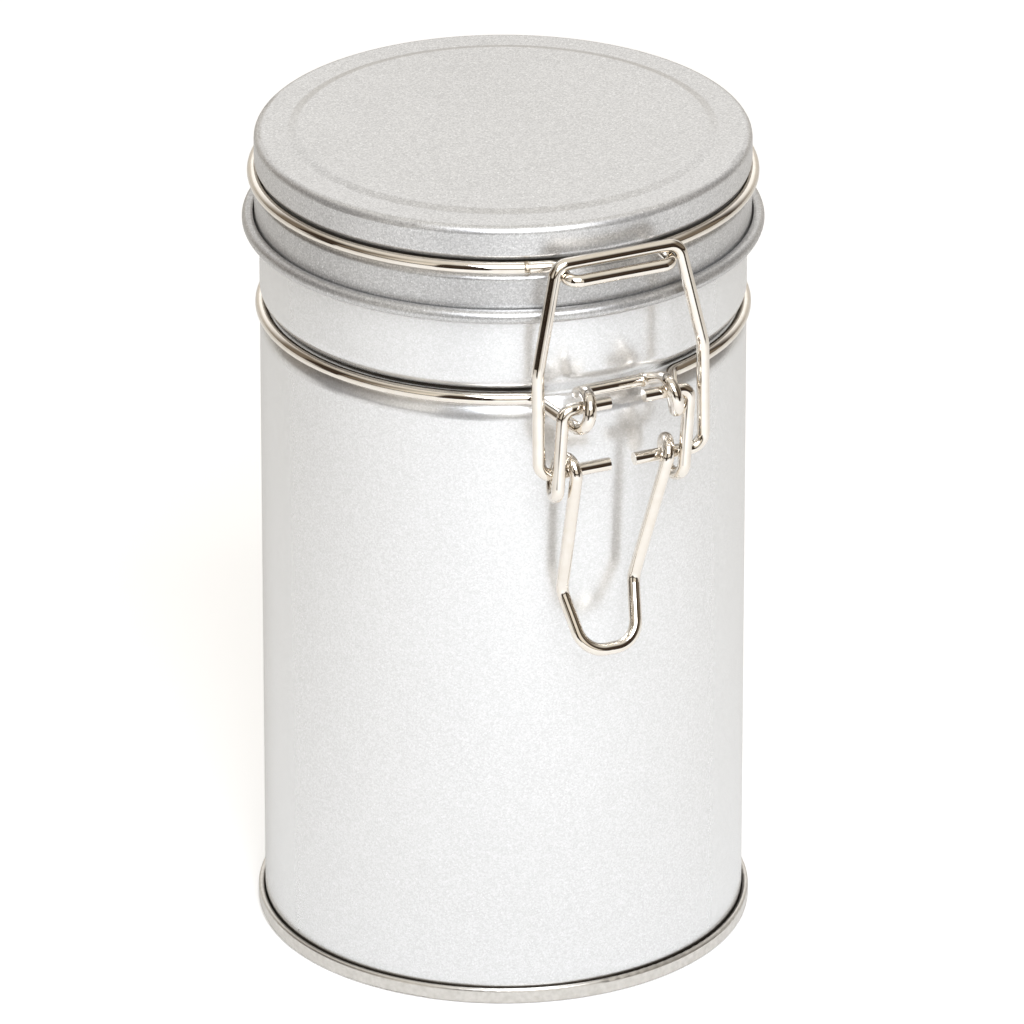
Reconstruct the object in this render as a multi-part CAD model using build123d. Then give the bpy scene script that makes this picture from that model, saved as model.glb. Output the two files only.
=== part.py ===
"""Clip-top tin: a round tinplate canister with a hinged shell lid and a wire toggle latch.

The frame is +Z up with the origin at the centre of the plane that the tin stands on.
The latch is at the front (-Y) and the hinge at the back (+Y). Lengths are in millimetres.
"""

import os
from math import acos, asin, atan, atan2, cos, degrees, hypot, pi, radians, sin, tan

from build123d import *

# Sheet and wire stock
sheet = 0.28
wire_d = 2.0
wire_r = wire_d / 2

# Body of the tin
body_d = 76.0
body_h = 123.3
rim_roll_r = 0.9
body_r = body_d / 2
wall_r = body_r - sheet / 2

# Groove that carries a ring of wire, in the body and in the lid
groove_slack = 0.24
groove_bend_r = wire_r + groove_slack + sheet / 2

# Neck ring: wire round the body, half sunk in its groove
neck_drop = 19.6
neck_sink = 0.3
neck_flare = 58.0
neck_shoulder_r = 3.0
neck_z = body_h - neck_drop
neck_r = body_r - neck_sink

# Double seam that locks the base to the wall
seam_h = 2.6
seam_slack = 0.08
compound_t = 0.25
compound_edge_share = 0.25
seam_bend_r = 0.34
seam_foot_r = 0.5
hook_gap = 0.15
layer = sheet + seam_slack
base_land_z = sheet / 2
base_turn_z = seam_h - sheet / 2
body_turn_z = base_land_z + sheet + compound_t

# Base panel, sunk above the seam that the tin stands on
panel_z = 2.7
panel_rise = 0.6
panel_step_in = 9.86
panel_step_w = 1.2
panel_bend_r = 1.0

# Lid
lid_gap = 0.42
lid_rise = 9.7
lid_h = 15.92
lid_corner_r = 1.2
lid_curl_r = 1.12
lid_flare = 52.0
lid_shoulder_r = 0.7
emboss_in = 6.66
emboss_h = 0.4
emboss_w = 1.6
emboss_bend_r = 1.5
lid_in_r = body_r + lid_gap
lid_wall_r = lid_in_r + sheet / 2
lid_out_r = lid_in_r + sheet
emboss_r = lid_wall_r - emboss_in
lid_top_z = body_h + lid_rise
lid_foot_z = lid_top_z - lid_h

# Lid ring: wire round the lid
lid_ring_drop = 7.0
lid_ring_stand = 0.1
lid_ring_z = lid_top_z - lid_ring_drop
lid_ring_r = lid_out_r + lid_ring_stand

# Sealing ring inside the lid, over the rim of the body
seal_gap = 0.12
seal_t = 1.15
seal_w = 2.0
seal_edge_r = 0.3
seal_side_gap = 0.75

# Front hook of the lid ring
hook_half = 8.7
hook_out = 4.2
hook_drop = 0.75
hook_bend_r = 1.8
ring_bend_r = 1.5
ring_lead = 2.2
hook_y = -(lid_ring_r + hook_out)
hook_z = lid_ring_z - hook_drop

# Pivot of the lever in the eyes of the neck ring
pivot_stand = 6.7
pivot_rise = 1.2
pivot_y = -(body_r + pivot_stand)
pivot_z = neck_z + pivot_rise

# Eyes of the neck ring
eye_r = 2.7
eye_lift = 0.6
eye_back = 0.3
eye_in = 6.6
eye_out = 8.1
eye_exit_half = 11.6
eye_bend_r = 2.6
eye_leave = -104.0
eye_bar_back = 5.0
eye_bar_lift = 0.7
eye_bar_half = 6.1
eye_bar_bend_r = 1.6
eye_exit_bend_r = 2.5
eye_y = pivot_y + eye_back
eye_z = pivot_z - eye_lift

# Pins of the latch loop in the eyes of the lever
pin_inset = 1.7
pin_drop = 11.15
pin_y = pivot_y + pin_inset
pin_z = pivot_z - pin_drop

# Latch loop
loop_bar_half = 10.3
loop_leg_half = 13.95
loop_vertex_up = 17.3
loop_vertex_in = 0.5
loop_bar_back = 1.6
loop_bar_lift = 2.45
loop_top_bend_r = 2.2
loop_side_bend_r = 6.0
loop_foot_bend_r = 2.3
loop_pin_in = 2.1

# Lever
lever_lean = 5.0
lever_pin_in = 2.9
link_half = 10.7
link_bend_r = 1.6
coil_slack = 0.2
coil_sag = 1.4
coil_bend_r = 2.1
coil_half = 7.8
leg_half = 6.1
leg_drop = 20.9
leg_stand = 3.0
leg_bend_r = 3.0
thumb_half = 4.4
thumb_aside = 0.25
thumb_drop = 9.0
thumb_out = 4.9
thumb_bend_r = 4.2
coil_r = wire_d + coil_slack

# Hinge: bar of the lid ring in the coils of the neck ring
hinge_stand = 8.0
hinge_drop = 6.8
hinge_slack = 0.08
hinge_leg_half = 10.6
hinge_leg_in = 2.2
hinge_bend_r = 1.8
post_half = 7.9
coil_end_half = 6.1
post_bend_r = 2.0
hinge_coil_bend_r = 2.0
hinge_tail = 0.8
hinge_y = body_r + hinge_stand
hinge_z = body_h - hinge_drop
hinge_coil_r = wire_d + hinge_slack

# Butt welds that close the two rings
weld_len = 0.7
lid_weld_swell = 0.04
neck_weld_swell = 0.12
neck_weld_x = 5.2
lid_weld_turn = 19.5
weld_edge_share = 0.9

# Turns of wire or sheet are drawn with a bend every sixth of a turn
coil_step = 60.0
roll_bend_share = 0.97


def rounded_edges(points, radii):
    """Edges of a line through the points, with an arc of the given radius at each inner point."""
    corners = [Vector(*point) for point in points]
    edges = []
    start = corners[0]
    for before, corner, after, radius in zip(corners, corners[1:], corners[2:], radii):
        back = (before - corner).normalized()
        ahead = (after - corner).normalized()
        half_turn = (pi - acos(max(-1, min(1, back.dot(ahead))))) / 2
        reach = radius * tan(half_turn)
        arc_start = corner + back * reach
        arc_end = corner + ahead * reach
        inward = (back + ahead).normalized()
        middle = corner + inward * (radius / cos(half_turn) - radius)
        edges.append(Edge.make_line(start, arc_start))
        edges.append(Edge.make_three_point_arc(arc_start, middle, arc_end))
        start = arc_end
    edges.append(Edge.make_line(start, corners[-1]))
    return edges


def wire_solid(edges):
    """Round wire along the joined edges."""
    path = Wire(edges)
    section = Plane(origin=path @ 0, z_dir=path % 0) * Circle(wire_r)
    return sweep(section, path=path)


def both_sides(half):
    """A piece that is the same on both sides of the YZ plane, from its +X half."""
    return half + mirror(half, about=Plane.YZ)


def sheet_ring(points, radii):
    """Sheet metal turned round the Z axis. The points are its mid-line, as (radius, height)."""
    sides = ([], [])
    side_radii = ([], [])
    count = len(points)
    for i, (r, z) in enumerate(points):
        before = points[max(i - 1, 0)]
        after = points[min(i + 1, count - 1)]
        turn_in = atan2(z - before[1], r - before[0]) if i else None
        turn_out = atan2(after[1] - z, after[0] - r) if i < count - 1 else turn_in
        turn_in = turn_out if turn_in is None else turn_in
        turn = (turn_out - turn_in + pi) % (2 * pi) - pi
        miter = sheet / 2 / cos(turn / 2)
        aim = turn_in + turn / 2 + pi / 2
        for side, way in enumerate((1, -1)):
            sides[side].append((r + way * miter * cos(aim), 0, z + way * miter * sin(aim)))
            if 0 < i < count - 1:
                bend = way if turn > 0 else -way
                side_radii[side].append(radii[i - 1] - bend * sheet / 2)
    left = rounded_edges(sides[0], side_radii[0])
    right = rounded_edges(sides[1], side_radii[1])
    caps = [Edge.make_line(sides[0][-1], sides[1][-1]), Edge.make_line(sides[1][0], sides[0][0])]
    return revolve(Face(Wire(left + right + caps)), axis=Axis.Z)


def turned(points, radii):
    """Solid ring with the given closed outline of (radius, height) points, each corner rounded."""
    outline = Polyline(*[(r, 0, z) for r, z in points], close=True)
    face = Face(Wire(outline.edges()))
    return revolve(face.fillet_2d(radii, face.vertices()), axis=Axis.Z)


def around(centre, radius, first, last, count):
    """Corners of an outline that hugs a circle in the side view, between two tangent angles."""
    step = (last - first) / count
    reach = radius / cos(radians(step / 2))
    angles = [radians(first + step * (i + 0.5)) for i in range(count)]
    return [(centre[0] + reach * cos(angle), centre[1] + reach * sin(angle)) for angle in angles]


def coil(centre, radius, first, last, count, x_first, x_last):
    """Corners of a coil of wire round an axis along X. Angle 0 points to the front, 90 up."""
    corners = []
    for i, (out, z) in enumerate(around((-centre[0], centre[1]), radius, first, last, count)):
        x = x_first + (x_last - x_first) * i / (count - 1)
        corners.append((x, -out, z))
    return corners


def ring_start(radius, x_corner):
    """Turn, from the front, at which a ring of wire leaves its circle for a corner at x_corner."""
    reach = hypot(radius, ring_lead)
    return degrees(asin(x_corner / reach) + atan(ring_lead / radius))


def on_ring(radius, z, turn):
    """Point of a ring, at a turn in degrees from the front towards +X."""
    return (radius * sin(radians(turn)), -radius * cos(radians(turn)), z)


def before_ring(radius, z, turn, way):
    """Corner on the ring's tangent, one lead ahead (way -1) of the turn or past it (way 1)."""
    x, y, z = on_ring(radius, z, turn)
    return (x + way * ring_lead * cos(radians(turn)), y + way * ring_lead * sin(radians(turn)), z)


def ring_half(front, front_radii, back, back_radii, radius, z, first, last):
    """The +X half of a closed ring of wire, from its front bar round to its back bar."""
    start = on_ring(radius, z, first)
    end = on_ring(radius, z, last)
    middle = on_ring(radius, z, (first + last) / 2)
    edges = rounded_edges(front + [before_ring(radius, z, first, -1), start], front_radii)
    edges.append(Edge.make_three_point_arc(start, middle, end))
    edges += rounded_edges([end, before_ring(radius, z, last, 1)] + back, back_radii)
    return wire_solid(edges)


def weld(place, direction, swell):
    """Small upset collar that a butt weld leaves on a ring of wire."""
    plane = Plane(origin=place, z_dir=direction)
    collar = extrude(plane * Circle(wire_r + swell), amount=weld_len / 2, both=True)
    return fillet(collar.edges().filter_by(GeomType.CIRCLE), swell * weld_edge_share)


def groove_corners(wire_z, ring_r, mid_r, flank):
    """Mid-line corners of a groove that seats a wire, from its lower shoulder to its upper one."""
    flare = radians(flank)
    apex = ring_r - groove_bend_r / sin(flare)
    half = (mid_r - apex) * tan(flare)
    return [(mid_r, wire_z - half), (apex, wire_z), (mid_r, wire_z + half)]


def make_tin_wall():
    """Body wall: hooked foot inside the seam, grooved neck, rim rolled inwards."""
    hook_r = wall_r + 2 * layer
    roll_r = rim_roll_r - sheet / 2
    roll_centre = (wall_r - roll_r, body_h - rim_roll_r)
    foot = [(hook_r, base_turn_z - layer - hook_gap), (hook_r, body_turn_z), (wall_r, body_turn_z)]
    groove = groove_corners(neck_z, neck_r, wall_r, neck_flare)
    roll = around(roll_centre, roll_r, 0, 4 * coil_step, 4)
    end_angle = radians(4 * coil_step)
    tip = (roll_centre[0] + roll_r * cos(end_angle), roll_centre[1] + roll_r * sin(end_angle))
    bends = [seam_bend_r] * 2 + [neck_shoulder_r, groove_bend_r, neck_shoulder_r]
    return sheet_ring(foot + groove + roll + [tip], bends + [roll_r * roll_bend_share] * 4)


def make_base_end():
    """Base: sunk panel with a raised middle, and the seam that wraps the foot of the wall."""
    chuck_r = wall_r - layer
    outer_r = wall_r + 3 * layer
    cover_r = wall_r + layer
    raised_z = panel_z + panel_rise
    panel_step_r = wall_r - panel_step_in
    points = [
        (0, raised_z),
        (panel_step_r, raised_z),
        (panel_step_r + panel_step_w, panel_z),
        (chuck_r, panel_z),
        (chuck_r, base_land_z),
        (outer_r, base_land_z),
        (outer_r, base_turn_z),
        (cover_r, base_turn_z),
        (cover_r, body_turn_z + layer + hook_gap),
    ]
    bends = [panel_bend_r] * 3 + [seam_foot_r] * 2 + [seam_bend_r] * 2
    return sheet_ring(points, bends)


def make_seam_compound():
    """Sealing compound that lines the seam under the turned foot of the wall."""
    low = base_land_z + sheet / 2
    high = body_turn_z - sheet / 2
    inner = wall_r - layer + seam_foot_r
    outer = wall_r + 3 * layer - seam_foot_r
    outline = [(inner, low), (outer, low), (outer, high), (inner, high)]
    return turned(outline, compound_t * compound_edge_share)


def make_lid_shell():
    """Drawn lid: flat top with a faint raised disc, wire groove, and skirt rolled outwards."""
    top = lid_top_z - sheet / 2
    rim = top - emboss_h
    roll_r = lid_curl_r - sheet / 2
    roll_centre = (lid_wall_r + roll_r, lid_foot_z + lid_curl_r)
    roll = around(roll_centre, roll_r, 3 * coil_step, 8 * coil_step, 5)
    end_angle = radians(8 * coil_step)
    tip = (roll_centre[0] + roll_r * cos(end_angle), roll_centre[1] + roll_r * sin(end_angle))
    groove = groove_corners(lid_ring_z, lid_ring_r, lid_wall_r, lid_flare)[::-1]
    crown = [(0, top), (emboss_r, top), (emboss_r + emboss_w, rim), (lid_wall_r, rim)]
    bends = [emboss_bend_r] * 2 + [lid_corner_r - sheet / 2]
    bends += [lid_shoulder_r, groove_bend_r, lid_shoulder_r] + [roll_r * roll_bend_share] * 5
    return sheet_ring(crown + groove + roll + [tip], bends)


def make_lid_seal():
    """Soft sealing ring under the lid's groove, just clear of the rolled rim."""
    low = body_h + seal_gap
    outer = lid_in_r - seal_side_gap
    inner = outer - seal_w
    high = low + seal_t
    return turned([(inner, low), (outer, low), (outer, high), (inner, high)], seal_edge_r)


def make_lid_ring():
    """Ring of wire in the lid's groove, bent into the front hook and the hinge bar."""
    first = ring_start(lid_ring_r, hook_half)
    last = 180 - ring_start(lid_ring_r, hinge_leg_half)
    front = [(0, hook_y, hook_z), (hook_half, hook_y, hook_z)]
    leg_y = hinge_y - hinge_leg_in
    back = [
        (hinge_leg_half, leg_y, lid_ring_z),
        (hinge_leg_half, hinge_y, hinge_z),
        (0, hinge_y, hinge_z),
    ]
    half = ring_half(
        front, [hook_bend_r, ring_bend_r],
        back, [ring_bend_r, hinge_bend_r, hinge_bend_r],
        lid_ring_r, lid_ring_z, first, last,
    )
    turn = radians(lid_weld_turn)
    place = on_ring(lid_ring_r, lid_ring_z, -lid_weld_turn)
    return both_sides(half) + weld(place, (cos(turn), -sin(turn), 0), lid_weld_swell)


def make_neck_ring():
    """Ring of wire in the neck groove, coiled into the lever's eyes and the hinge's coils."""
    bar_y = eye_y + eye_bar_back
    bar_z = eye_z + eye_bar_lift
    away = hypot(eye_bar_back, eye_bar_lift)
    bar_angle = 180 - degrees(atan(eye_bar_lift / eye_bar_back))
    touch = bar_angle - degrees(acos(eye_r / away))
    eye = coil((eye_y, eye_z), eye_r, touch, eye_leave, 4, eye_in, eye_out)
    front = [(0, bar_y, bar_z), (eye_bar_half, bar_y, bar_z)] + eye
    front_radii = [eye_bar_bend_r] + [eye_bend_r] * 4 + [eye_exit_bend_r]
    post_y = hinge_y - hinge_coil_r
    turns = around((hinge_y, hinge_z), hinge_coil_r, 180, 180 - 4 * coil_step, 4)
    count = len(turns)
    loop = [
        (post_half + (coil_end_half - post_half) * i / count, out, z)
        for i, (out, z) in enumerate(turns)
    ]
    leave = radians(180 - 4 * coil_step)
    side = 2 * hinge_coil_r * tan(radians(coil_step / 2)) + hinge_tail
    tail_y = hinge_y + hinge_coil_r * cos(leave) + side / 2 * sin(leave)
    tail_z = hinge_z + hinge_coil_r * sin(leave) - side / 2 * cos(leave)
    back = [(post_half, post_y, neck_z)] + loop
    back += [(coil_end_half, tail_y, tail_z), (0, tail_y, tail_z)]
    back_radii = [ring_bend_r, post_bend_r] + [hinge_coil_bend_r] * 4 + [hinge_bend_r]
    first = ring_start(neck_r, eye_exit_half)
    last = 180 - ring_start(neck_r, post_half)
    half = ring_half(front, front_radii, back, back_radii, neck_r, neck_z, first, last)
    return both_sides(half) + weld((neck_weld_x, bar_y, bar_z), (1, 0, 0), neck_weld_swell)


def make_latch_loop():
    """Loop of wire that hooks over the lid ring. Its ends turn in as pins."""
    bar_y = hook_y + loop_bar_back
    bar_z = hook_z + loop_bar_lift
    points = [
        (0, bar_y, bar_z),
        (loop_bar_half, bar_y, bar_z),
        (loop_leg_half, pin_y + loop_vertex_in, pin_z + loop_vertex_up),
        (loop_leg_half, pin_y, pin_z),
        (loop_pin_in, pin_y, pin_z),
    ]
    bends = [loop_top_bend_r, loop_side_bend_r, loop_foot_bend_r]
    return both_sides(wire_solid(rounded_edges(points, bends)))


def lever_side(way):
    """One side of the lever, from the end of its pivot pin to the middle of the thumb bow."""
    reach = hypot(pin_inset, pin_drop)
    leg_y = -(body_r + leg_stand)
    leg_z = pin_z - leg_drop
    first = degrees(asin(coil_r / reach) - atan(pin_inset / pin_drop))
    leg_slope = degrees(atan((leg_y - (pin_y - coil_r)) / leg_drop))
    last = -360 - leg_slope
    turns = coil((pin_y, pin_z), coil_r, first, last, 6, link_half, coil_half)
    turns = [(x, y, z - coil_sag if z < pin_z else z) for x, y, z in turns]
    points = [(lever_pin_in, pivot_y, pivot_z), (link_half, pivot_y, pivot_z)] + turns
    thumb_y = leg_y - thumb_out
    thumb_z = leg_z - thumb_drop
    aside = way * thumb_aside
    points.append((leg_half - aside, leg_y, leg_z))
    points += [(thumb_half - aside, thumb_y, thumb_z), (-aside, thumb_y, thumb_z)]
    bends = [link_bend_r] + [coil_bend_r] * 6 + [leg_bend_r, thumb_bend_r]
    slope = tan(radians(lever_lean))
    leaned = [(way * x - slope * (pivot_z - max(z, leg_z)), y, z) for x, y, z in points]
    return wire_solid(rounded_edges(leaned, bends))


def make_lever():
    """Lever of one wire: pivot pins, links, coils round the latch pins, legs and thumb bow."""
    return lever_side(1) + lever_side(-1)


makers = {
    "tin_wall": make_tin_wall,
    "base_end": make_base_end,
    "seam_compound": make_seam_compound,
    "neck_ring": make_neck_ring,
    "lid_shell": make_lid_shell,
    "lid_seal": make_lid_seal,
    "lid_ring": make_lid_ring,
    "latch_loop": make_latch_loop,
    "lever": make_lever,
}

os.makedirs("parts", exist_ok=True)
for name, maker in makers.items():
    export_step(maker(), os.path.join("parts", name + ".step"))
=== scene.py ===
"""Clip-top tin: a silver-lacquered canister with a hinged lid and a nickel-plated wire latch."""

import math

import bmesh
import bpy
from mathutils import Matrix, Vector, noise


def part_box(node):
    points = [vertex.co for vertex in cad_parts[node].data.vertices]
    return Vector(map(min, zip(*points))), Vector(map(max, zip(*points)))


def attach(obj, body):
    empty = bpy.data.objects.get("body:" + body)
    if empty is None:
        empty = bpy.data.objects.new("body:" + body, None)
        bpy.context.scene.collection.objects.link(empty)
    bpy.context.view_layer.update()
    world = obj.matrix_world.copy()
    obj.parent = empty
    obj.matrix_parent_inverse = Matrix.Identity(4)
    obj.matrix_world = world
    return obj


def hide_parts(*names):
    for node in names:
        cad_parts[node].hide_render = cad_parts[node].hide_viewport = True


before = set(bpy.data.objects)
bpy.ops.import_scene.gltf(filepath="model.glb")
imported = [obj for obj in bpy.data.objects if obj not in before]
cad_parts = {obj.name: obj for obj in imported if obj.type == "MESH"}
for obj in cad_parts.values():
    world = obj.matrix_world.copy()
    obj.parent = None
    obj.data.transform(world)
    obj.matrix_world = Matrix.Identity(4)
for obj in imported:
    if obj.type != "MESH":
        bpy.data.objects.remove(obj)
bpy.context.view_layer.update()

# Body wall of the tin. It is cold-rolled tinplate, spray-coated with silver metallic lacquer while it
# is flat, then rolled into a tube, welded, beaded at the neck and hooked into the base. The eye gets
# a pale satin surface, with painted glints where single aluminium flakes are painted white.
mm = 0.001                 # Blender's unit is the metre
margin_blur = 0.15 * mm    # how softly an edge of the coat ends
mix_factor, mix_a, mix_b, mix_out = 0, 6, 7, 2   # sockets of a Mix node that mixes colours


def linear(code):
    """Linear colour of an sRGB hex value."""
    shares = [int(code[i:i + 2], 16) / 255 for i in (0, 2, 4)]
    light = [c / 12.92 if c <= 0.04045 else ((c + 0.055) / 1.055) ** 2.4 for c in shares]
    return (*light, 1.0)


def add(tree, kind, inputs=None, **settings):
    """Adds a node with its settings. An input is a value, or the output that is joined to it."""
    made = tree.nodes.new(kind)
    for name, value in settings.items():
        setattr(made, name, value)
    for socket, value in (inputs or {}).items():
        if isinstance(value, bpy.types.NodeSocket):
            tree.links.new(value, made.inputs[socket])
        else:
            made.inputs[socket].default_value = value
    return made


def new_material(name):
    """A material with its node tree and an empty output."""
    material = bpy.data.materials.new(name)
    material.use_nodes = True
    material.node_tree.nodes.clear()
    return material, material.node_tree


def dress(node, material):
    """Gives a CAD node its finish."""
    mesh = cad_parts[node].data
    mesh.materials.clear()
    mesh.materials.append(material)


def silver_lacquer(name, body_colour, shade_colour, roughness, painted_shade_bands, weld_half=None):
    """Metallic lacquer: resin full of aluminium flakes. Most lie flat; a few are painted white as
    glints.

    A shade band paints shade: a darker colour where shade falls, in a groove, above the seam or
    below the lid's ring. A band is (middle height, half height, half of its gap at the front, share
    of the painted shade colour).
    weld_half is half the width of the side weld at the back, if the piece has one.
    """
    flake_width = 0.20 * mm   # a real flake is 0.03 mm, too fine to show, so it is drawn coarser
    grain_width = 1.5 * flake_width
    painted_glint_width = 0.44 * mm
    cloud_width = 14 * mm     # slow drift in how thick the spray lies, which changes its gloss
    gloss_drift = 0.03
    peel_width = 0.9 * mm     # orange peel of a sprayed coat
    relief_height = 0.05 * mm
    gap_blur = 1.5 * mm
    # Colour of the painted shade, mixed into the coat over each shade band
    painted_shade_colour = linear("4E4840")
    welded_sheet = linear("B6B1A9")
    material, tree = new_material(name)
    place = add(tree, "ShaderNodeTexCoord").outputs["Object"]
    flakes = add(tree, "ShaderNodeTexVoronoi", {"Vector": place, "Scale": 1 / flake_width})
    tone = add(tree, "ShaderNodeSeparateColor", {"Color": flakes.outputs["Color"]})
    grain = add(tree, "ShaderNodeTexNoise", {
        "Vector": place, "Scale": 1 / grain_width, "Detail": 2.0,
    })
    both = add(tree, "ShaderNodeMath", {
        0: tone.outputs["Red"], 1: grain.outputs["Fac"],
    }, operation="MULTIPLY")
    spread = add(tree, "ShaderNodeMapRange", {
        "Value": both.outputs[0], "From Min": 0.0, "From Max": 0.6,
    })
    coat = add(tree, "ShaderNodeMix", {
        mix_factor: spread.outputs[0], mix_a: linear(shade_colour), mix_b: linear(body_colour),
    }, data_type="RGBA")
    # Painted glints: a few flake cells are lifted to white in the colour, a painted highlight
    painted_glint_cells = add(tree, "ShaderNodeTexVoronoi", {"Vector": place, "Scale": 1 / painted_glint_width})
    painted_glint_tone = add(tree, "ShaderNodeSeparateColor", {"Color": painted_glint_cells.outputs["Color"]})
    rare = add(tree, "ShaderNodeMapRange", {
        "Value": painted_glint_tone.outputs["Green"], "From Min": 0.84, "From Max": 0.97,
    })
    core = add(tree, "ShaderNodeMapRange", {
        "Value": painted_glint_cells.outputs["Distance"],
        "From Min": 0.12, "From Max": 0.34, "To Min": 1.0, "To Max": 0.0,
    })
    painted_glint = add(tree, "ShaderNodeMath", {
        0: rare.outputs[0], 1: core.outputs[0],
    }, operation="MULTIPLY")
    coat = add(tree, "ShaderNodeMix", {
        mix_factor: painted_glint.outputs[0], mix_a: coat.outputs[mix_out], mix_b: linear("FFFFFF"),
    }, data_type="RGBA")
    cloud = add(tree, "ShaderNodeTexNoise", {
        "Vector": place, "Scale": 1 / cloud_width, "Detail": 1.0,
    })
    gloss = add(tree, "ShaderNodeMapRange", {
        "Value": cloud.outputs["Fac"],
        "To Min": roughness - gloss_drift, "To Max": roughness + gloss_drift,
    })
    peel = add(tree, "ShaderNodeTexNoise", {
        "Vector": place, "Scale": 1 / peel_width, "Detail": 1.0,
    })
    relief = add(tree, "ShaderNodeMath", {
        0: both.outputs[0], 1: peel.outputs["Fac"],
    }, operation="ADD")
    bump = add(tree, "ShaderNodeBump", {
        "Height": relief.outputs[0], "Strength": 0.12, "Distance": relief_height,
    })
    position = add(tree, "ShaderNodeSeparateXYZ", {"Vector": place})
    across = add(tree, "ShaderNodeMath", {0: position.outputs["X"]}, operation="ABSOLUTE")
    at_front = add(tree, "ShaderNodeMath", {
        0: position.outputs["Y"], 1: 0.0,
    }, operation="LESS_THAN")
    # Each band paints shade into the coat colour, except in its gap at the front
    for middle, half, gap, shade_share in painted_shade_bands:
        above = add(tree, "ShaderNodeMath", {
            0: position.outputs["Z"], 1: middle,
        }, operation="SUBTRACT")
        aside = add(tree, "ShaderNodeMath", {0: above.outputs[0]}, operation="ABSOLUTE")
        unshaded = add(tree, "ShaderNodeMapRange", {
            "Value": aside.outputs[0],
            "From Min": half - margin_blur, "From Max": half + margin_blur,
            "To Min": 1 - shade_share,
        })
        near_middle = add(tree, "ShaderNodeMapRange", {
            "Value": across.outputs[0],
            "From Min": gap - gap_blur, "From Max": gap, "To Min": 1.0, "To Max": 0.0,
        })
        in_gap = add(tree, "ShaderNodeMath", {
            0: near_middle.outputs[0], 1: at_front.outputs[0],
        }, operation="MULTIPLY")
        keep_coat_colour = add(tree, "ShaderNodeMath", {
            0: unshaded.outputs[0], 1: in_gap.outputs[0],
        }, operation="MAXIMUM")
        coat = add(tree, "ShaderNodeMix", {
            mix_factor: keep_coat_colour.outputs[0], mix_a: painted_shade_colour, mix_b: coat.outputs[mix_out],
        }, data_type="RGBA")
    if weld_half:
        beside = add(tree, "ShaderNodeMapRange", {
            "Value": across.outputs[0],
            "From Min": weld_half - margin_blur, "From Max": weld_half + margin_blur,
        })
        keep_coat_colour = add(tree, "ShaderNodeMath", {
            0: beside.outputs[0], 1: at_front.outputs[0],
        }, operation="MAXIMUM")
        coat = add(tree, "ShaderNodeMix", {
            mix_factor: keep_coat_colour.outputs[0], mix_a: welded_sheet, mix_b: coat.outputs[mix_out],
        }, data_type="RGBA")
    shader = add(tree, "ShaderNodeBsdfPrincipled", {
        "Base Color": coat.outputs[mix_out],
        "Metallic": 0.70,
        "Roughness": gloss.outputs[0],
        "Coat Weight": 0.35,
        "Coat Roughness": 0.14,
        "Normal": bump.outputs[0],
    }, distribution="GGX")
    add(tree, "ShaderNodeOutputMaterial", {"Surface": shader.outputs[0]})
    return material


# Painted shade: a dark line just above the seam and deep in the neck groove, open at the front
seam_shade_line = (0.0, 2.85 * mm, 0.0, 1.0)
neck_groove_shade = (104.9 * mm, 0.45 * mm, 10.5 * mm, 1.0)
wall_shade_bands = [seam_shade_line, neck_groove_shade]
side_weld_half = 0.5 * mm
dress("tin_wall", silver_lacquer(
    "silver_lacquer_wall", "F4F4F4", "DDDDDC", 0.24, wall_shade_bands, side_weld_half,
))

# Base of the tin. It is plain tinplate with only a clear lacquer, pressed with a sunk panel and
# double seamed round the foot of the wall. The seaming roll leaves fine hoops round the seam.


def plain_tinplate():
    """Tinplate under clear lacquer: warm grey, half matt, with the cloudy spangle of the tin."""
    hoop_pitch = 0.35 * mm
    hoop_height = 0.04 * mm
    spangle_width = 0.9 * mm
    material, tree = new_material("clear_lacquered_tinplate")
    place = add(tree, "ShaderNodeTexCoord").outputs["Object"]
    spangle = add(tree, "ShaderNodeTexNoise", {
        "Vector": place, "Scale": 1 / spangle_width, "Detail": 3.0,
    })
    even = add(tree, "ShaderNodeMapRange", {
        "Value": spangle.outputs["Fac"], "From Min": 0.3, "From Max": 0.7,
    })
    colour = add(tree, "ShaderNodeMix", {
        mix_factor: even.outputs[0], mix_a: linear("CDC9C2"), mix_b: linear("DEDAD4"),
    }, data_type="RGBA")
    stretch = add(tree, "ShaderNodeMapping", {"Vector": place, "Scale": (0.04, 0.04, 1.0)})
    hoops = add(tree, "ShaderNodeTexNoise", {
        "Vector": stretch.outputs[0], "Scale": 1 / hoop_pitch, "Detail": 2.0,
    })
    bump = add(tree, "ShaderNodeBump", {
        "Height": hoops.outputs["Fac"], "Strength": 0.15, "Distance": hoop_height,
    })
    shader = add(tree, "ShaderNodeBsdfPrincipled", {
        "Base Color": colour.outputs[mix_out],
        "Metallic": 0.85,
        "Roughness": 0.28,
        "Normal": bump.outputs[0],
    })
    add(tree, "ShaderNodeOutputMaterial", {"Surface": shader.outputs[0]})
    return material


dress("base_end", plain_tinplate())

# Sealing compound of the base seam. It is water-based rubber that is flowed into the seam and
# dried, and it stays closed in between the hooks of the wall and the base.


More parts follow.
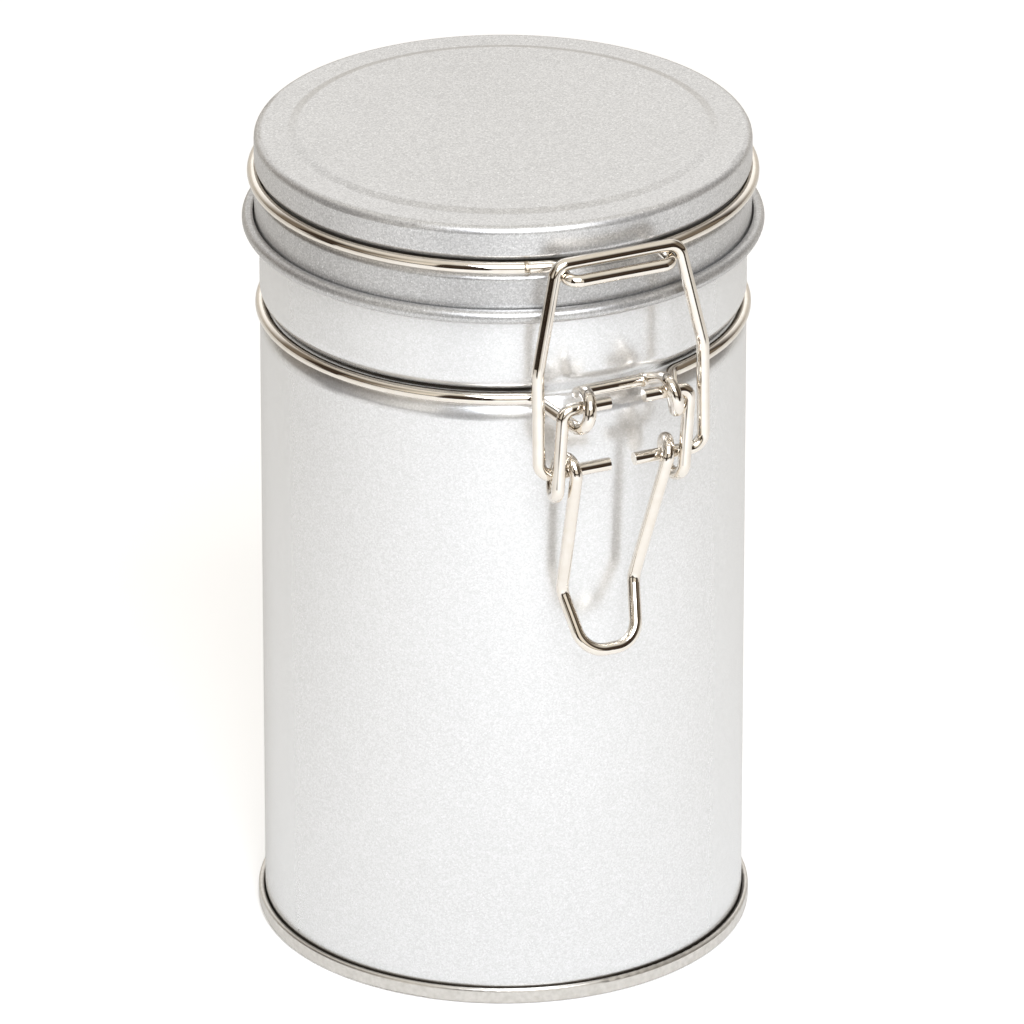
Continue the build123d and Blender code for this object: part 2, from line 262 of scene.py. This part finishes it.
def dull_rubber(name, dark, light, roughness):
    """Filled rubber or silicone: matt, very slightly mottled, with a faint moulded grain."""
    mottle_width = 1.4 * mm
    grain_height = 0.05 * mm
    material, tree = new_material(name)
    place = add(tree, "ShaderNodeTexCoord").outputs["Object"]
    mottle = add(tree, "ShaderNodeTexNoise", {
        "Vector": place, "Scale": 1 / mottle_width, "Detail": 4.0,
    })
    colour = add(tree, "ShaderNodeMix", {
        mix_factor: mottle.outputs["Fac"], mix_a: linear(dark), mix_b: linear(light),
    }, data_type="RGBA")
    bump = add(tree, "ShaderNodeBump", {
        "Height": mottle.outputs["Fac"], "Strength": 0.1, "Distance": grain_height,
    })
    shader = add(tree, "ShaderNodeBsdfPrincipled", {
        "Base Color": colour.outputs[mix_out],
        "Roughness": roughness,
        "Subsurface Weight": 0.25,
        "Subsurface Scale": 1.0 * mm,
        "Normal": bump.outputs[0],
    })
    add(tree, "ShaderNodeOutputMaterial", {"Surface": shader.outputs[0]})
    return material


dress("seam_compound", dull_rubber("seaming_compound", "8A7E6A", "A3967F", 0.7))

# Neck ring. It is a closed ring of drawn steel wire with a bright nickel plate, seated in the neck
# groove. It is coiled into the two eyes at the front and into the two hinge coils at the back.


def nickel_plate(name, shade_colour, body_colour, smooth, rough):
    """Nickel on drawn wire: a mirror with a warm tint, a slight waviness and small marks."""
    wave_length = 5 * mm
    wave_height = 0.12 * mm
    mark_width = 1.8 * mm
    material, tree = new_material(name)
    place = add(tree, "ShaderNodeTexCoord").outputs["Object"]
    marks = add(tree, "ShaderNodeTexNoise", {
        "Vector": place, "Scale": 1 / mark_width, "Detail": 3.0,
    })
    colour = add(tree, "ShaderNodeMix", {
        mix_factor: marks.outputs["Fac"], mix_a: linear(shade_colour), mix_b: linear(body_colour),
    }, data_type="RGBA")
    gloss = add(tree, "ShaderNodeMapRange", {
        "Value": marks.outputs["Fac"], "To Min": smooth, "To Max": rough,
    })
    wave = add(tree, "ShaderNodeTexNoise", {
        "Vector": place, "Scale": 1 / wave_length, "Detail": 0.0,
    })
    bump = add(tree, "ShaderNodeBump", {
        "Height": wave.outputs["Fac"], "Strength": 0.5, "Distance": wave_height,
    })
    shader = add(tree, "ShaderNodeBsdfPrincipled", {
        "Base Color": colour.outputs[mix_out],
        "Metallic": 1.0,
        "Roughness": gloss.outputs[0],
        "Normal": bump.outputs[0],
    })
    add(tree, "ShaderNodeOutputMaterial", {"Surface": shader.outputs[0]})
    return material


nickel = nickel_plate("bright_nickel_plate", "E6DDD0", "F6F1EA", 0.03, 0.10)
dress("neck_ring", nickel)

# Lid. It is drawn from the same tinplate with a slightly darker coat of the silver lacquer, beaded
# for its ring of wire and curled outwards at the foot. A faint disc is pressed into the top.
lid_groove_z = 126.0 * mm
# Painted shade: the groove that holds the lid's ring is painted dark all round
lid_groove_shade = (lid_groove_z, 1.15 * mm, 0.0, 1.0)
lid_skirt_shade = (117.85 * mm, 6.35 * mm, 0.0, 0.12)   # painted shade: the skirt and curl below the ring are darkened a little
lid_shade_bands = [lid_skirt_shade, lid_groove_shade]
dress("lid_shell", silver_lacquer("silver_lacquer_lid", "E8E7E6", "BDBCBB", 0.33, lid_shade_bands))

# Sealing ring inside the lid. It is a moulded ring of milky silicone with a rounded lip that meets
# the rolled rim of the body. It is pressed into the corner of the lid by hand.
seal_low, seal_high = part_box("lid_seal")
seal_wall = 2.0 * mm
seal_out_r = seal_high.x
seal_in_r = seal_out_r - seal_wall
seal_height = seal_high.z - seal_low.z
seal_segments = 128


def spun_ring(name, section):
    """A ring turned round the Z axis from a closed section of (radius, height) points."""
    mesh = bpy.data.meshes.new(name)
    shape = bmesh.new()
    corners = [shape.verts.new((r, 0, z)) for r, z in section]
    edges = [shape.edges.new((a, b)) for a, b in zip(corners, corners[1:] + corners[:1])]
    bmesh.ops.spin(
        shape, geom=corners + edges, cent=(0, 0, 0), axis=(0, 0, 1), dvec=(0, 0, 0),
        angle=math.tau, steps=seal_segments, use_merge=True,
    )
    bmesh.ops.remove_doubles(shape, verts=shape.verts, dist=0.001 * mm)
    bmesh.ops.recalc_face_normals(shape, faces=shape.faces)
    for face in shape.faces:
        face.smooth = True
    shape.to_mesh(mesh)
    shape.free()
    piece = bpy.data.objects.new(name, mesh)
    bpy.context.scene.collection.objects.link(piece)
    return piece


lip = seal_height * 0.28
mid_r = (seal_in_r + seal_out_r) / 2
seal_section = [
    (seal_in_r + lip, seal_low.z + lip * 0.5),
    (mid_r - lip, seal_low.z),
    (mid_r + lip, seal_low.z),
    (seal_out_r - lip * 0.4, seal_low.z + lip * 0.6),
    (seal_out_r, seal_low.z + seal_height / 2),
    (seal_out_r - lip * 0.4, seal_high.z),
    (seal_in_r + lip * 0.4, seal_high.z),
    (seal_in_r, seal_low.z + seal_height / 2),
]
seal = spun_ring("silicone_seal", seal_section)
smooth_seal = seal.modifiers.new("rounded", "SUBSURF")
smooth_seal.levels = 2
smooth_seal.render_levels = 2
seal.data.materials.append(dull_rubber("milky_silicone", "D9D8D0", "E8E7E1", 0.45))
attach(seal, "lid")
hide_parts("lid_seal")

# Lid ring, latch loop and lever. They are bent from the same plated wire as the neck ring: the ring
# has the hook, the loop goes over it, and the lever pulls the loop down.
for wire in ("lid_ring", "latch_loop", "lever"):
    dress(wire, nickel)

# Butt welds of the two rings. The ends of each ring are pressed together and welded, which squeezes
# out a low, uneven collar. The plating covers it, but it stays rougher and darker than the wire.
wire_r = 1.0 * mm
collar_length = 1.2 * mm
collar_rise = 0.2 * mm
collar_grain = 0.7 * mm
collar_end_share = 0.96    # radius of the collar's ends, as a share of the wire's
collar_mean_share = 0.65   # mean rise of the collar, as a share of collar_rise
collar_sides = 32
collar_cuts = 9
dulled_nickel = nickel_plate("nickel_over_weld", "A8977F", "D8CBB8", 0.16, 0.34)


def weld_collar(name, middle, along, body):
    """An uneven collar round a wire, with its two ends sunk just below the wire's surface."""
    mesh = bpy.data.meshes.new(name)
    shape = bmesh.new()
    end_r = wire_r * collar_end_share
    bmesh.ops.create_cone(
        shape, cap_ends=True, segments=collar_sides, radius1=end_r, radius2=end_r,
        depth=collar_length,
    )
    lengthwise = [
        edge for edge in shape.edges
        if abs(edge.verts[0].co.z - edge.verts[1].co.z) > wire_r / 2
    ]
    bmesh.ops.subdivide_edges(shape, edges=lengthwise, cuts=collar_cuts, use_grid_fill=True)
    for vert in shape.verts:
        fade = 1 - (2 * vert.co.z / collar_length) ** 2
        unevenness = collar_mean_share + noise.noise((vert.co + middle) / collar_grain)
        outwards = Vector((vert.co.x, vert.co.y, 0)).normalized()
        vert.co += outwards * collar_rise * fade * unevenness
    for face in shape.faces:
        face.smooth = len(face.verts) == 4
    shape.to_mesh(mesh)
    shape.free()
    mesh.materials.append(dulled_nickel)
    collar = bpy.data.objects.new(name, mesh)
    turned = along.to_track_quat("Z", "Y").to_matrix().to_4x4()
    collar.matrix_world = Matrix.Translation(middle) @ turned
    bpy.context.scene.collection.objects.link(collar)
    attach(collar, body)


lid_ring_r = 38.8 * mm
lid_weld_turn = math.radians(19.5)   # to the left of the hook, seen from the front
lid_weld_side = Vector((-math.sin(lid_weld_turn), -math.cos(lid_weld_turn), 0))
lid_weld_along = Vector((math.cos(lid_weld_turn), -math.sin(lid_weld_turn), 0))
lid_weld_place = lid_weld_side * lid_ring_r + Vector((0, 0, lid_groove_z))
weld_collar("lid_ring_weld", lid_weld_place, lid_weld_along, "lid")
neck_weld_place = Vector((5.2, -39.4, 105.0)) * mm   # on the front bar, beside the right eye
weld_collar("neck_ring_weld", neck_weld_place, Vector((1, 0, 0)), "tin")

# Studio. The tin stands on a white table before a lit backdrop, with one soft lamp above its front.
# Warm-white cards stand round the other sides, dimmer behind the camera. The dim room shows in the
# gaps between them and in a line at their foot: those are the thin dark streaks in the bright wire.
backdrop_side = (0.42, 0.91, 0.0)
card_count = 5
first_gap = math.radians(222)
gap_reach = 0.34
card_reach = 1.2
reach_fade = 1.3      # past its reach a card or a gap comes in over this factor
room_tone = "3A3028"
table_half = 4.0


def card_gaps(tree, way):
    """A mask that is 1 towards a gap between two cards and 0 towards a card."""
    part = add(tree, "ShaderNodeSeparateXYZ", {"Vector": way})
    turn = add(tree, "ShaderNodeMath", {
        0: part.outputs["X"], 1: part.outputs["Y"],
    }, operation="ARCTAN2")
    phase = add(tree, "ShaderNodeMath", {
        0: turn.outputs[0], 1: card_count, 2: -card_count * first_gap,
    }, operation="MULTIPLY_ADD")
    wave = add(tree, "ShaderNodeMath", {0: phase.outputs[0]}, operation="COSINE")
    mask = add(tree, "ShaderNodeMapRange", {
        "Value": wave.outputs[0], "From Min": 0.35, "From Max": 0.6,
    }, interpolation_type="SMOOTHSTEP")
    return mask.outputs[0]


def table():
    """White table top, large enough for any view. Metal sees it darken on the camera's side."""
    mesh = bpy.data.meshes.new("table")
    shape = bmesh.new()
    bmesh.ops.create_grid(shape, x_segments=1, y_segments=1, size=table_half)
    shape.to_mesh(mesh)
    shape.free()
    top = bpy.data.objects.new("table", mesh)
    bpy.context.scene.collection.objects.link(top)
    material, tree = new_material("white_table")
    place = add(tree, "ShaderNodeTexCoord").outputs["Object"]
    reach = add(tree, "ShaderNodeVectorMath", {0: place}, operation="LENGTH").outputs["Value"]
    past_gap = add(tree, "ShaderNodeMapRange", {
        "Value": reach, "From Min": gap_reach, "From Max": gap_reach * reach_fade,
    }, interpolation_type="SMOOTHSTEP")
    past_card = add(tree, "ShaderNodeMapRange", {
        "Value": reach, "From Min": card_reach, "From Max": card_reach * reach_fade,
    }, interpolation_type="SMOOTHSTEP")
    open_gap = add(tree, "ShaderNodeMath", {
        0: past_gap.outputs[0], 1: card_gaps(tree, place),
    }, operation="MULTIPLY")
    past = add(tree, "ShaderNodeMath", {
        0: open_gap.outputs[0], 1: past_card.outputs[0],
    }, operation="MAXIMUM")
    behind = add(tree, "ShaderNodeVectorMath", {
        0: place, 1: backdrop_side,
    }, operation="DOT_PRODUCT")
    front = add(tree, "ShaderNodeMapRange", {
        "Value": behind.outputs["Value"],
        "From Min": -0.1, "From Max": 0.1, "To Min": 1.0, "To Max": 0.0,
    })
    edge = add(tree, "ShaderNodeMath", {
        0: past.outputs[0], 1: front.outputs[0],
    }, operation="MULTIPLY")
    path = add(tree, "ShaderNodeLightPath")
    dim = add(tree, "ShaderNodeMath", {
        0: edge.outputs[0], 1: path.outputs["Is Glossy Ray"],
    }, operation="MULTIPLY")
    colour = add(tree, "ShaderNodeMix", {
        mix_factor: dim.outputs[0], mix_a: linear("F8F8F8"), mix_b: linear(room_tone),
    }, data_type="RGBA")
    lit = add(tree, "ShaderNodeBsdfDiffuse", {"Color": colour.outputs[mix_out]})
    glow = add(tree, "ShaderNodeEmission", {"Strength": 0.35})
    clear = add(tree, "ShaderNodeMixShader", {
        0: path.outputs["Is Camera Ray"], 2: glow.outputs[0],
    })
    shader = add(tree, "ShaderNodeAddShader", {0: lit.outputs[0], 1: clear.outputs[0]})
    add(tree, "ShaderNodeOutputMaterial", {"Surface": shader.outputs[0]})
    mesh.materials.append(material)


table()

lamp_turn, lamp_tilt = math.radians(-14), math.radians(44)
lamp_distance = 0.58
lamp_aim = Vector((0, 0, 0.07))
lamp_away = Vector((
    math.sin(lamp_turn) * math.cos(lamp_tilt),
    -math.cos(lamp_turn) * math.cos(lamp_tilt),
    math.sin(lamp_tilt),
))
lamp_data = bpy.data.lights.new("soft_lamp", "AREA")
lamp_data.shape = "SQUARE"
lamp_data.size = 0.36
lamp_data.energy = 2.9
lamp_data.color = linear("F0F6FF")[:3]
lamp = bpy.data.objects.new("soft_lamp", lamp_data)
lamp.location = lamp_aim + lamp_away * lamp_distance
lamp.rotation_euler = lamp_away.to_track_quat("Z", "Y").to_euler()
lamp.visible_camera = False
bpy.context.scene.collection.objects.link(lamp)

world = bpy.data.worlds.new("white_studio")
bpy.context.scene.world = world
world.use_nodes = True
world.node_tree.nodes.clear()
sky = world.node_tree

# Masks over the direction: above the cards' foot, the ceiling, the backdrop and the camera's side
direction = add(sky, "ShaderNodeTexCoord").outputs["Generated"]
height = add(sky, "ShaderNodeSeparateXYZ", {"Vector": direction}).outputs["Z"]
above_foot = add(sky, "ShaderNodeMapRange", {
    "Value": height, "From Min": 0.01, "From Max": 0.07,
}, interpolation_type="SMOOTHSTEP").outputs[0]
ceiling = add(sky, "ShaderNodeMapRange", {
    "Value": height, "From Min": 0.55, "From Max": 0.9,
}, interpolation_type="SMOOTHSTEP").outputs[0]
backward = add(sky, "ShaderNodeVectorMath", {
    0: direction, 1: backdrop_side,
}, operation="DOT_PRODUCT")
backdrop = add(sky, "ShaderNodeMapRange", {
    "Value": backward.outputs["Value"], "From Min": 0.4, "From Max": 0.95,
}, interpolation_type="SMOOTHSTEP").outputs[0]
behind_camera = add(sky, "ShaderNodeMapRange", {
    "Value": backward.outputs["Value"],
    "From Min": -0.8, "From Max": -0.35, "To Min": 1.0, "To Max": 0.0,
}, interpolation_type="SMOOTHSTEP").outputs[0]

# Colours under those masks, from the cards up to the ceiling
cards = add(sky, "ShaderNodeMix", {
    mix_factor: behind_camera, mix_a: linear("6E6458"), mix_b: linear("DAD4C9"),
}, data_type="RGBA").outputs[mix_out]
between = add(sky, "ShaderNodeMix", {
    mix_factor: card_gaps(sky, direction), mix_a: cards, mix_b: linear(room_tone),
}, data_type="RGBA").outputs[mix_out]
room = add(sky, "ShaderNodeMix", {
    mix_factor: above_foot, mix_a: linear(room_tone), mix_b: between,
}, data_type="RGBA").outputs[mix_out]
# The backdrop is dimmer low down, where it curves up from the table
sweep_lift = add(sky, "ShaderNodeMapRange", {
    "Value": height, "From Min": 0.2, "From Max": 0.38,
}, interpolation_type="SMOOTHSTEP").outputs[0]
sweep = add(sky, "ShaderNodeMix", {
    mix_factor: sweep_lift, mix_a: linear("C9C4BC"), mix_b: linear("FFFEFC"),
}, data_type="RGBA").outputs[mix_out]
walls = add(sky, "ShaderNodeMix", {
    mix_factor: backdrop, mix_a: room, mix_b: sweep,
}, data_type="RGBA").outputs[mix_out]
shade = add(sky, "ShaderNodeMix", {
    mix_factor: ceiling, mix_a: walls, mix_b: linear("D7D3CB"),
}, data_type="RGBA").outputs[mix_out]
path = add(sky, "ShaderNodeLightPath")
seen = add(sky, "ShaderNodeMix", {
    mix_factor: path.outputs["Is Camera Ray"], mix_a: shade, mix_b: linear("FFFFFF"),
}, data_type="RGBA")
glow = add(sky, "ShaderNodeBackground", {"Color": seen.outputs[mix_out], "Strength": 1.25})
add(sky, "ShaderNodeOutputWorld", {"Surface": glow.outputs[0]})

# Camera, at the photograph's viewing angle. Its place and lens were fitted to the ellipses of the
# lid, the curl and the base.
camera_turn = math.radians(-25.0)
camera_tilt = math.radians(24.966)
camera_distance = 1.8228
camera_aim_z = 67.016 * mm
camera_aside = 1.376 * mm
camera_data = bpy.data.cameras.new("camera")
camera_data.sensor_width = 36.0
camera_data.lens = 407.2
camera_data.clip_end = 100.0
camera = bpy.data.objects.new("camera", camera_data)
bpy.context.scene.collection.objects.link(camera)
back = Vector((
    math.sin(camera_turn) * math.cos(camera_tilt),
    -math.cos(camera_turn) * math.cos(camera_tilt),
    math.sin(camera_tilt),
))
right = Vector((math.cos(camera_turn), math.sin(camera_turn), 0))
up = back.cross(right)
camera.matrix_world = Matrix.Translation(
    Vector((0, 0, camera_aim_z)) + right * camera_aside + back * camera_distance
) @ Matrix((right, up, back)).transposed().to_4x4()
bpy.context.scene.camera = camera

bpy.context.scene.view_settings.view_transform = "Standard"
